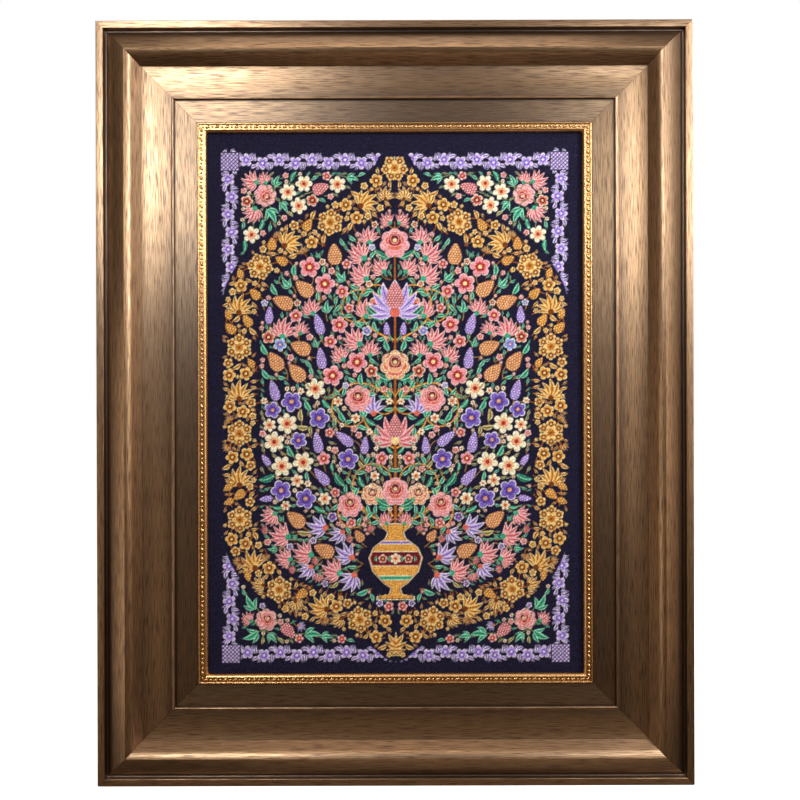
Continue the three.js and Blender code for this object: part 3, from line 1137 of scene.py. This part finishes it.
@dataclass
class RugDesign:
    """A vase of scrolling flowers under a pointed arch of gold blossom, with lilac guards and rose corners.

    Places are in millimetres from the rug's middle. The design mirrors about its upright middle line.
    Guard edge is the guards' outer edge at the side, the top and the foot. Each stretch of the arch is a
    cubic curve's knots. Each tendril is its start, first heading, bends at its start and end, length,
    and the motif that ends it, with its radius.
    """

    width: float
    length: float
    columns: int
    rows: int
    guard_edge: tuple[float, float, float] = (231.0, 333.0, -345.0)
    guard_width: float = 24.0
    band_half: float = 23.0
    band_gap: float = 3.0
    seed: int = 11

    arch: ClassVar[tuple] = (
        ((0, 312), (-10, 286), (-38, 262), (-86, 240)),
        ((-86, 240), (-150, 214), (-207, 176), (-207, 112)),
        ((-207, 112), (-207, 20), (-207, -60), (-207, -150)),
        ((-207, -150), (-207, -214), (-166, -250), (-112, -268)),
        ((-112, -268), (-72, -280), (-34, -286), (0, -318)),
    )

    tendrils: ClassVar[tuple] = (
        ((-4, -150), 118, 60, 420, 190, PINK_ROSE, 17),
        ((-10, -158), 168, -60, -330, 190, PEACH_ROSE, 15),
        ((-2, -60), 150, -10, -430, 190, VIOLET_LILY, 16),
        ((-2, 0), 128, 60, 330, 200, PINK_ROSE, 18),
        ((-2, 84), 160, -20, -420, 170, CORAL_FLOWER, 15),
        ((-2, 120), 122, 40, 420, 150, PINK_LILY, 15),
    )

    def __post_init__(self) -> None:
        """Lays the ground and measures the beds."""
        self.chart = Chart(self.width, self.length, self.columns, self.rows, Dye.NAVY)
        self.planting = Planting(self.chart, self.seed)
        self.arch_path = self.arch_points()
        self.inside = self.arch_depth()
        self.left = -self.chart.x[None, :]

    def arch_points(self) -> np.ndarray:
        """Gives the band's middle line from the arch's point down to the foot, about 3 mm apart."""
        rough = np.concatenate([cubic(np.array(curve), 60) for curve in self.arch])
        girth = np.concatenate([[0.0], np.cumsum(np.hypot(*np.diff(rough, axis=0).T))])
        even = np.linspace(0, girth[-1], int(girth[-1] / 3) + 1)
        return np.stack([np.interp(even, girth, rough[:, 0]), np.interp(even, girth, rough[:, 1])], axis=1)

    def arch_depth(self) -> np.ndarray:
        """Measures each knot's distance from the band's middle line, positive towards the field."""
        x, y = np.meshgrid(self.chart.x, self.chart.y)
        away = np.full(x.shape, 1e6)
        for px, py in self.arch_path:
            np.minimum(away, np.hypot(x - px, y - py), out=away)
        edge = np.interp(y, self.arch_path[::-1, 1], self.arch_path[::-1, 0])
        within = (x > edge) & (y < self.arch_path[0, 1]) & (y > self.arch_path[-1, 1])
        return np.where(within, away, -away)

    def paint(self) -> tuple[np.ndarray, np.ndarray]:
        """Paints the whole chart and gives its colours and relief."""
        self.guards()
        self.spandrels()
        self.band()
        self.field()
        return self.chart.whole()

    def bed(
        self, room: np.ndarray, classes: list[BedClass], aim: tuple[float, float], sway: float, *stem: Dye
    ) -> None:
        """Fills a bed with motifs, large ones first, each on a short stalk that points back at its root.

        Args:
            room: distance of each knot to the bed's edge.
            classes: the classes of circles.
            aim: the root that stalks point back at.
            sway: how far a motif may turn from there, in degrees.
            stem: light and dark dye of the stalks.
        """
        draw = self.planting.draw
        planted = []
        for radius, gap, tries, motifs in classes:
            for spot in self.planting.fill(room, radius, gap, tries):
                turn = heading(spot - aim) + draw.uniform(-sway, sway)
                planted.append((motifs[draw.integers(len(motifs))], spot, radius, turn))
        for motif, spot, radius, turn in planted:
            start = spot + 2.1 * radius * step(turn + 180)
            bend = draw.uniform(-500, 500)
            path = tendril(start, turn - bend * radius / 100, bend, bend, 2.1 * radius)
            draw_stem(self.chart, path, 1.2, 0.8, *stem)
        for motif, spot, radius, turn in planted:
            motif.paint(self.chart, spot, radius * motif.spill, turn)

    def guards(self) -> None:
        """Paints the lilac guards: a wave of stem, stars in its bends, leaves and buds, and corners."""
        edge_x, edge_top, edge_foot = self.guard_edge
        side_x = self.guard_width / 2 - edge_x
        top = edge_top - self.guard_width / 2
        foot = edge_foot + self.guard_width / 2
        runs = (((side_x, foot), (side_x, top)), ((side_x, top), (0, top)), ((side_x, foot), (0, foot)))
        for start, end in runs:
            span = math.dist(start, end)
            repeats = round(span / 46)
            turn = heading(np.array(end) - start)
            along = step(turn)
            across = np.array([-along[1], along[0]])
            share = np.linspace(0, span, repeats * 20 + 1)[:, None]
            wave = 4.5 * np.sin(share / span * repeats * 2 * math.pi)
            path = np.array(start) + share * along + wave * across
            draw_stem(self.chart, path, 1.3, 1.3, Dye.LILAC, Dye.PLUM)
            for number in range(2 * repeats + 1):
                spot = np.array(start) + along * span * number / (2 * repeats)
                side = 1 if number % 2 else -1
                LILAC_STAR.paint(self.chart, spot + 2.0 * side * across, 8.8, turn + 90 * side)
                between = spot + along * span / (4 * repeats)
                LILAC_LILY.paint(self.chart, between + across * 5.2 * side, 6.2, turn + 90 * side)
                LILAC_LEAF.paint(self.chart, between - across * 6.4 * side, 5.4, turn + 20 * side)
                for lean, away in ((55, 6.6), (125, -6.6)):
                    bud = spot + across * 8.6 * side + along * away
                    LILAC_LEAF.paint(self.chart, bud, 3.6, turn + lean * side)
        self.lattice((side_x, top))
        self.lattice((side_x, foot))

    def lattice(self, spot: Spot) -> None:
        """Paints a guard's corner: a square of small diamonds with pale cores on the bare ground."""
        patch = self.chart.local(spot, 13)
        square = 11.5 - np.maximum(np.abs(patch.along), np.abs(patch.across))
        self.chart.lay(patch, square + 1.5, Dye.NAVY, 0.0)
        first = (patch.along + patch.across) / 5.2
        second = (patch.along - patch.across) / 5.2
        away = np.maximum(np.abs(first - np.round(first)), np.abs(second - np.round(second)))
        self.chart.lay(patch, np.minimum(square, (0.4 - away) * 3.7), Dye.LILAC)
        self.chart.lay(patch, np.minimum(square, (0.18 - away) * 3.7), Dye.WHITE)

    def corner_room(self) -> np.ndarray:
        """Measures the room of the left corners, outside the band and inside the guards."""
        edge_x, edge_top, edge_foot = self.guard_edge
        x, y = np.meshgrid(self.chart.x, self.chart.y)
        upright = np.minimum(edge_top - self.guard_width - y, y - edge_foot - self.guard_width)
        inner = np.minimum(x + edge_x - self.guard_width, upright)
        room = np.minimum(inner - 1.0, -self.inside - self.band_half - self.band_gap)
        return np.minimum(room, self.left - 3)

    def clear_band(self) -> None:
        """Takes the guards away where the band crosses them."""
        near = np.clip((self.band_half + self.band_gap - np.abs(self.inside)) / self.chart.knot, 0, 1)
        self.chart.colour += near[..., None] * (Dye.NAVY.rgb - self.chart.colour)
        self.chart.relief *= 1 - near

    def spandrels(self) -> None:
        """Paints a rose bouquet in each corner between the guards and the band."""
        self.clear_band()
        room = self.corner_room()
        roses = ((-172, 276), (-172, -288))
        for spot in roses:
            PINK_ROSE.paint(self.chart, spot, 15, -math.copysign(40, spot[1]))
            self.planting.take(*spot, 15)
        classes = [
            (11.0, 0.4, 900, [PINK_BERRIES, PINK_LILY, MINT_TUFT, CREAM_FLOWER]),
            (8.0, 0.4, 1500, [PINK_BERRIES, PINK_LILY, MINT_TUFT, CORAL_FLOWER]),
            (5.8, 0.4, 2500, [VIOLET_LILY, PINK_FLOWER, GREEN_LEAF, CREAM_FLOWER]),
            (4.0, 0.3, 4000, [TEAL_LEAF, PANSY, PINK_FLOWER, TEAL_LEAF, OLIVE_LEAF]),
            (2.6, 0.3, 5000, [TEAL_LEAF, CREAM_FLOWER, OLIVE_LEAF]),
        ]
        for spot in roses:
            half = np.where(np.sign(self.chart.y)[:, None] == np.sign(spot[1]), room, -1.0)
            self.bed(half, classes, spot, 35, Dye.OLIVE, Dye.GREEN)

    def band(self) -> None:
        """Paints the band of gold blossom along the arch, large heads at even steps, small ones between."""
        room = self.band_half - np.abs(self.inside)
        room = np.minimum(room, np.where(self.left < 40, self.left - 1.0, 1e6))
        steps = len(self.arch_path) - 1
        heads = 15
        waves = []
        for number in range(heads + 1):
            place = round(number * steps / heads)
            way = self.arch_path[min(place + 1, steps)] - self.arch_path[max(place - 1, 0)]
            waves.append((self.arch_path[place], heading(way)))
        for spot, turn in waves:
            for side in (-1, 1):
                path = tendril(spot, turn + 50 * side, -120 * side, -260 * side, 46)
                draw_stem(self.chart, path, 1.4, 1.0, Dye.AMBER, Dye.BROWN)
        for number, (spot, turn) in enumerate(waves):
            if number % 2:
                GOLD_LILY.paint(self.chart, spot, 16, turn + 180)
            else:
                for petal in range(-1, 5):
                    angle = turn + 60 * petal
                    GOLD_FLOWER.paint(self.chart, spot + 11.5 * step(angle), 6.6, angle)
                GOLD_ASTER.paint(self.chart, spot, 7.0, turn)
            self.planting.take(*spot, 14 if number % 2 else 18.5)
        classes = [
            (8.6, 0.3, 1600, [GOLD_FLOWER, GOLD_FLOWER, GOLD_BERRIES, GOLD_LILY]),
            (6.4, 0.3, 3000, [GOLD_FLOWER, GOLD_FLOWER, GOLD_BERRIES]),
            (4.8, 0.3, 5000, [GOLD_FLOWER, GOLD_LILY, GOLD_LEAF]),
            (3.5, 0.2, 7000, [GOLD_LEAF, GOLD_FLOWER, GOLD_LEAF]),
            (2.4, 0.2, 9000, [GOLD_LEAF, GOLD_LEAF, GOLD_FLOWER]),
        ]
        self.bed(room, classes, (0.0, 0.0), 75, Dye.AMBER, Dye.BROWN)

    def vase(self) -> None:
        """Paints the footed vase: a body whose half width follows a short table of heights, with bands."""
        table = np.array([
            (-262, 26), (-257, 25), (-254, 9), (-246, 7), (-240, 16), (-224, 31), (-206, 36), (-192, 30),
            (-180, 14), (-172, 11), (-166, 18), (-160, 22),
        ])
        patch = self.chart.local((0.0, -211.0), 60)
        up = patch.across - 211.0
        half = np.interp(up, *table.T)
        depth = np.minimum(half - np.abs(patch.along), np.minimum(up + 262, -160 - up))
        for rim, dye in ((0, Dye.CREAM), (1.4, Dye.AMBER), (2.6, Dye.GOLD)):
            self.chart.lay(patch, depth - rim, dye)
        for low, high, dye in ((-217, -197, Dye.WINE), (-236, -229, Dye.TEAL), (-188, -183, Dye.VIOLET)):
            across = np.minimum(up - low, high - up)
            self.chart.lay(patch, np.minimum(depth - 2.6, across), Dye.CREAM)
            self.chart.lay(patch, np.minimum(depth - 2.6, across - 1.2), dye)
        for x, size, motif in (
            (0, 7.5, CREAM_FLOWER), (-17, 6.0, CORAL_FLOWER), (-8.5, 4.0, TEAL_LEAF), (-26, 4.0, TEAL_LEAF)
        ):
            motif.paint(self.chart, (x, -207), size, 90)

    def field(self) -> None:
        """Paints the vase, its middle stem and scrolls, and the flowers that fill the ground between."""
        for y, radius in ((-211, 50), (-118, 20), (-34, 24), (50, 21), (140, 30), (212, 24)):
            self.planting.take(0, y, radius)
        trunk = np.stack([np.zeros(40), np.linspace(-160, 240, 40)], axis=1)
        draw_stem(self.chart, trunk, 5.0, 2.0, Dye.AMBER, Dye.BROWN)
        paths = [tendril(*plan[:5]) for plan in self.tendrils]
        for path in paths:
            draw_stem(self.chart, path, 3.4, 1.8, Dye.GOLD, Dye.BROWN)
        for (*_, size), path in zip(self.tendrils, paths):
            self.planting.take(*path[-1], size)
        for path in paths:
            for place in range(6, len(path) - 6, 8):
                turn = heading(path[place + 1] - path[place])
                side = 1 if place % 16 == 6 else -1
                spot = path[place] + 6.5 * step(turn + 55 * side)
                TEAL_LEAF.paint(self.chart, spot, 6.5, turn + 40 * side)
                self.planting.take(*spot, 4.0)
        for (*_, flower, size), path in zip(self.tendrils, paths):
            flower.paint(self.chart, path[-1], size, 90)
        self.vase()
        self.middle_flowers()
        room = np.minimum(self.inside - self.band_half - self.band_gap, self.left - 1.0)
        upper = self.chart.y[:, None] + 0 * room
        zones = (
            (
                -400, -150, [PINK_LILY, VIOLET_LILY, AMBER_BERRIES], [PINK_LILY, PANSY, MINT_TUFT],
                [TEAL_LEAF, OLIVE_LEAF, PINK_FLOWER],
            ),
            (
                -150, 20, [CREAM_FLOWER, PANSY, VIOLET_BERRIES], [CREAM_FLOWER, PINK_FLOWER, GREEN_LEAF],
                [TEAL_LEAF, OLIVE_LEAF, CREAM_FLOWER],
            ),
            (
                20, 400, [PINK_FLOWER, AMBER_BERRIES, PINK_LILY, VIOLET_BERRIES],
                [CORAL_FLOWER, PINK_FLOWER, SKY_FLOWER, MINT_TUFT], [TEAL_LEAF, TEAL_LEAF, PINK_FLOWER],
            ),
        )
        for low, high, large, medium, small in zones:
            zone = np.where((upper >= low) & (upper < high), room, -1.0)
            classes = [
                (13.5, 0.6, 700, large),
                (11.0, 0.5, 1200, large),
                (8.6, 0.5, 2200, large + medium),
                (6.4, 0.4, 3600, medium + small),
                (4.6, 0.4, 5000, small + medium),
                (3.2, 0.3, 7000, small),
                (2.2, 0.3, 8000, small),
            ]
            self.bed(zone, classes, (0.0, -190.0), 45, Dye.OLIVE, Dye.BROWN)

    def middle_flowers(self) -> None:
        """Paints the large flowers up the middle stem, each over a pair of leaves."""
        for y, size, motif in (
            (-118, 19, PINK_ROSE), (-34, 23, Spray(PINK_LILY.leaf, 9, 105, Dye.STRAW)),
            (50, 20, PEACH_ROSE), (140, 28, Spray(VIOLET_LILY.leaf, 9, 100, Dye.CORAL)),
            (212, 20, PINK_ROSE),
        ):
            GREEN_LEAF.paint(self.chart, (-0.9 * size, y - 0.75 * size), 0.62 * size, 150)
            motif.paint(self.chart, (0.0, y), size, 90)
            if isinstance(motif, Spray):
                PINK_BERRIES.paint(self.chart, (0.0, y + 0.1 * size), 0.62 * size, 90)


@dataclass
class Rug:
    """One flat pile rug: a cotton web with sheared pile, its edges hidden under the fillet.

    Attributes:
        width: width of the rug.
        length: length of the rug.
        middle: height of its middle in the row frame.
        back: height of its back face in front of the frame's back.
        web: thickness of the cotton web.
        pile: height of the plain ground's pile in front of the frame's back.
        carving: how far the motifs stand above the ground.
        uneven: how far single tufts differ in height.
        shade: how far knots, and whole rows of knots, differ in shade.
        fleck: how far a knot's red, green and blue stray.
        columns: cells across the rug.
        rows: cells along the rug.
        seed: seed of the draws.
    """

    width: float
    length: float
    middle: float
    back: float
    web: float = 2.2
    pile: float = 9.5
    carving: float = 0.45
    uneven: float = 0.12
    shade: tuple[float, float] = (0.08, 0.03)
    fleck: tuple[float, float, float] = (0.0176, 0.0176, 0.033)
    columns: int = 500
    rows: int = 720
    seed: int = 5

    def foundation(self) -> Shell:
        """Makes the web as one closed block with a plain grid on each face."""
        x = np.linspace(-self.width / 2, self.width / 2, 26)
        z = np.linspace(-self.length / 2, self.length / 2, 37)
        return self.slab(x, z, np.full((37, 26), self.back + self.web), self.back, {})

    def slab(
        self, x: np.ndarray, z: np.ndarray, front: np.ndarray, back: float, values: dict[str, np.ndarray]
    ) -> Shell:
        """Makes a closed slab from a grid of front heights: the front, four walls and a fan over the back.

        Args:
            x: places of the columns.
            z: places of the rows, from the rug's middle.
            front: height of the front at each crossing.
            back: height of the back.
            values: colours for each crossing of the front.

        Returns:
            The slab's closed shell, with a map that spreads the front over most of the square.
        """
        rows, columns = front.shape
        grid_x, grid_z = np.meshgrid(x, z)
        top = np.stack([grid_x, -front, grid_z + self.middle], axis=-1).reshape(-1, 3)
        number = np.arange(rows * columns).reshape(rows, columns)
        rim = np.concatenate([number[0, :-1], number[:-1, -1], number[-1, :0:-1], number[:0:-1, 0]])
        foot = top[rim] * (1, 0, 1) - (0, back, 0)
        centre = np.array([[x.mean(), -back, z.mean() + self.middle]])
        points = np.concatenate([top, foot, centre]) * MM
        count = len(rim)
        low = np.arange(count) + rows * columns
        walls = np.stack([rim, np.roll(rim, -1), np.roll(low, -1), low], axis=1)[:, ::-1]
        fan = np.stack([low, np.roll(low, -1), np.full(count, rows * columns + count)], axis=1)[:, ::-1]
        faces = grid_faces(rows, columns)
        upright = 0.02 + 0.98 * (grid_z - z[0]) / (z[-1] - z[0])
        spread = np.stack([(grid_x - x[0]) / (x[-1] - x[0]), upright], axis=-1).reshape(-1, 2)
        ring = np.stack([np.arange(count), np.arange(count) + 1], axis=1) / count
        wall_uv = np.stack([ring[:, [1, 0, 0, 1]], np.tile([0.0, 0.0, 0.006, 0.006], (count, 1))], axis=-1)
        fan_uv = np.stack([ring[:, [0, 1, 0]], np.tile([0.008, 0.008, 0.016], (count, 1))], axis=-1)
        extended = {}
        for name, own in values.items():
            flat = own.reshape(rows * columns, -1)
            extended[name] = np.concatenate([flat, flat[rim], np.zeros((1, flat.shape[1]))])
        parts = [faces, walls, fan]
        covers = [np.zeros(len(part)) for part in parts]
        return Shell(points, parts, [spread[faces], wall_uv, fan_uv], covers, extended)

    def build(self, pile: bpy.types.Material, cotton: bpy.types.Material) -> None:
        """Makes the web and the pile, which is parted in four tiles so that each stays light enough.

        Args:
            pile: finish of the pile.
            cotton: finish of the web.
        """
        colour, relief = RugDesign(self.width, self.length, self.columns, self.rows).paint()
        draw = np.random.default_rng(self.seed)
        shade = 1 + self.shade[0] * draw.standard_normal(relief.shape)
        shade += self.shade[1] * draw.standard_normal((len(relief), 1))
        flecks = draw.standard_normal(relief.shape)[..., None] * np.array(self.fleck)
        dye = linear(np.clip(colour * shade[..., None] + flecks, 0, 1))
        tufts = self.uneven * draw.standard_normal(relief.shape).clip(-2, 2)
        front = self.pile + self.carving * relief + tufts
        x = np.linspace(-self.width / 2, self.width / 2, self.columns + 1)
        z = np.linspace(-self.length / 2, self.length / 2, self.rows + 1)
        row, column = self.rows // 2, self.columns // 2
        for half, rows in (("lower", slice(0, row + 1)), ("upper", slice(row, None))):
            for side, columns in (("left", slice(0, column + 1)), ("right", slice(column, None))):
                dyes = {"dye": dye[rows, columns]}
                shell = self.slab(x[columns], z[rows], front[rows, columns], self.back + self.web, dyes)
                tile = shell.make(f"rug_pile_{half}_{side}", "OFBake", [pile], 80)
                settle(tile, "rug_pile", "rug")
        web = settle(self.foundation().make("rug_web", "OFBake", [cotton], 30), "rug_pile", "rug")


# Studio

@dataclass
class SoftLight:
    """A soft light, square unless it is given a height, that points at the frame's middle.

    Its place from the frame's middle, its width and its height are in metres, and its power is in watts.
    """

    name: str
    place: tuple[float, float, float]
    size: float
    power: float
    tall: float = 0.0
    tint: str = "#f2f8ff"

    def build(self, middle: float) -> None:
        """Makes the light for a frame whose middle has a given height in the row frame, in metres."""
        lamp = bpy.data.lights.new(self.name, "AREA")
        lamp.energy = self.power
        lamp.color = paint(self.tint)[:3]
        lamp.shape = "RECTANGLE"
        lamp.size = self.size
        lamp.size_y = self.tall or self.size
        light = bpy.data.objects.new(self.name, lamp)
        bpy.context.scene.collection.objects.link(light)
        x, y, z = self.place
        light.location = (x, y, z + middle)
        light.rotation_euler = (math.atan2(math.hypot(x, y), z), 0.0, math.atan2(x, -y))


@dataclass
class Studio:
    """A camera in front of the frame, soft lights, a room in dim warm light and a pale floor.

    Lengths of the camera are in metres, its lens in millimetres and its roll in degrees.
    """

    middle: float
    floor: float
    distance: float = 1.282
    lens: float = 43.1
    aside: float = 0.0064
    above: float = 0.0038
    roll: float = 0.16

    lights: ClassVar[tuple] = (
        SoftLight("key_light", (-0.52, -1.36, 0.62), 0.4, 8.4),
        SoftLight("left_spot", (-0.57, -1.07, 1.05), 0.3, 4.5),
        SoftLight("front_right", (0.71, -1.33, 0.55), 0.5, 4.8),
        SoftLight("right_strip", (0.90, -0.55, 0.60), 0.15, 11.0, tall=0.8),
        SoftLight("right_window", (1.25, -0.98, 0.20), 1.0, 5.4, tint="#fff2e4"),
        SoftLight("top_light", (0.0, -0.41, 1.54), 1.0, 5.0, tint="#fff2e4"),
        SoftLight("left_fill", (-1.35, -0.75, -0.30), 1.0, 3.5, tint="#ffeeda"),
        SoftLight("low_fill", (0.2, -0.45, -1.45), 1.0, 1.0, tint="#ffe2c4"),
        SoftLight("right_fill", (1.50, -0.25, -0.25), 0.9, 1.2, tint="#ffdcb8"),
        SoftLight("back_light", (0.3, 1.5, 0.6), 1.0, 14.0),
    )

    def camera(self) -> None:
        """Stands the camera square to the frame, almost level with its middle."""
        data = bpy.data.cameras.new("camera")
        data.lens = self.lens
        data.sensor_width = 36.0
        camera = bpy.data.objects.new("camera", data)
        bpy.context.scene.collection.objects.link(camera)
        camera.location = (self.aside, -self.distance, self.middle * MM + self.above)
        camera.rotation_euler = (math.pi / 2, math.radians(self.roll), 0.0)
        bpy.context.scene.camera = camera

    def room(self) -> None:
        """Gives the camera a white backdrop, and the leaf a dim warm room, brighter with height."""
        world = bpy.data.worlds.new("studio")
        bpy.context.scene.world = world
        world.use_nodes = True
        tree = world.node_tree
        tree.nodes.clear()
        way = add_node(tree, "TexCoord")
        up = add_node(tree, "SeparateXYZ", {"Vector": way.outputs["Generated"]}).outputs["Z"]
        fade = {"From Min": -0.25, "From Max": 0.9, "To Min": 0.14, "To Max": 0.3, "Value": up}
        warm = {"Color": paint("#ffdcb8"), "Strength": add_node(tree, "MapRange", fade)}
        dim = add_node(tree, "Background", warm)
        white = add_node(tree, "Background", {"Color": (1, 1, 1, 1), "Strength": 1.0})
        seen = add_node(tree, "LightPath").outputs["Is Camera Ray"]
        mixed = add_node(tree, "MixShader", {0: seen, 1: dim, 2: white})
        add_node(tree, "OutputWorld", {"Surface": mixed})

    def ground(self) -> None:
        """Lays the pale floor just under the frame, lit evenly like the backdrop."""
        material, tree = new_material("Pale matt paper")
        matt = add_node(tree, "BsdfPrincipled", {
            "Base Color": paint("#e6e6e6"), "Roughness": 0.9, "Emission Color": (1, 1, 1, 1),
            "Emission Strength": 0.92,
        })
        add_node(tree, "OutputMaterial", {"Surface": matt})
        mesh = bpy.data.meshes.new("floor")
        level = self.floor * MM - 0.0005
        corners = [(-9, -9, level), (9, -9, level), (9, 9, level), (-9, 9, level)]
        mesh.from_pydata(corners, [], [(0, 1, 2, 3)])
        mesh.materials.append(material)
        floor = bpy.data.objects.new("floor", mesh)
        floor.visible_glossy = False
        floor.visible_diffuse = False
        bpy.context.scene.collection.objects.link(floor)

    def build(self) -> None:
        """Sets up the whole studio."""
        bpy.context.scene.view_settings.view_transform = "Standard"
        self.camera()
        self.room()
        self.ground()
        for light in self.lights:
            light.build(self.middle * MM)


def main() -> None:
    """Builds the studio, the frame's three rings and the rug, and dresses the board."""
    logging.basicConfig(level=logging.INFO, format="%(name)s %(message)s")
    low, high = (np.array(corner) / MM for corner in cad_box)
    middle = float(low[2] + high[2]) / 2
    Studio(middle, float(low[2])).build()
    mitre_gap = 0.3
    ring = MitredRing(*map(float, (high - low)[[0, 2]]), middle, mitre_gap / math.sqrt(2))
    bare = Board("Bare pine", "#c9a271", "#a67c4c", (60.0, 2.5, 2.5)).build()
    bronze = MetalLeaf("Brushed bronze leaf on moulding", "#ab8964", "#644529", "#2e190c").build()
    # The slip's leaf is the moulding's leaf made darker: painted shade for the liner that lies recessed
    # under the lip.
    slip = MetalLeaf("Brushed bronze leaf on slip", "#866a4b", "#4e351f", "#2e190c").build()
    gold = MetalLeaf("Burnished gold leaf", "#dfb071", "#b17c3e", "#3a2010", (5.0, 0.8), 0.3, 0.2).build()
    Moulding(ring).build(bronze, bare)
    Liner(ring).build(slip, bare)
    Fillet(ring).build(gold, bare)
    low, high = (np.array(corner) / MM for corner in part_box("rug"))
    rug = Rug(*map(float, (high - low)[[0, 2]]), float(low[2] + high[2]) / 2, -float(high[1]))
    rug.build(KnottedPile().build(), CottonGround().build())
    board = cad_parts["backing_board"]
    hardboard = Board("Plain hardboard", "#a57c52", "#8a6440", (9.0, 9.0, 9.0)).build()
    for slot in board.material_slots:
        slot.material = hardboard


if __name__ == "__main__":
    main()
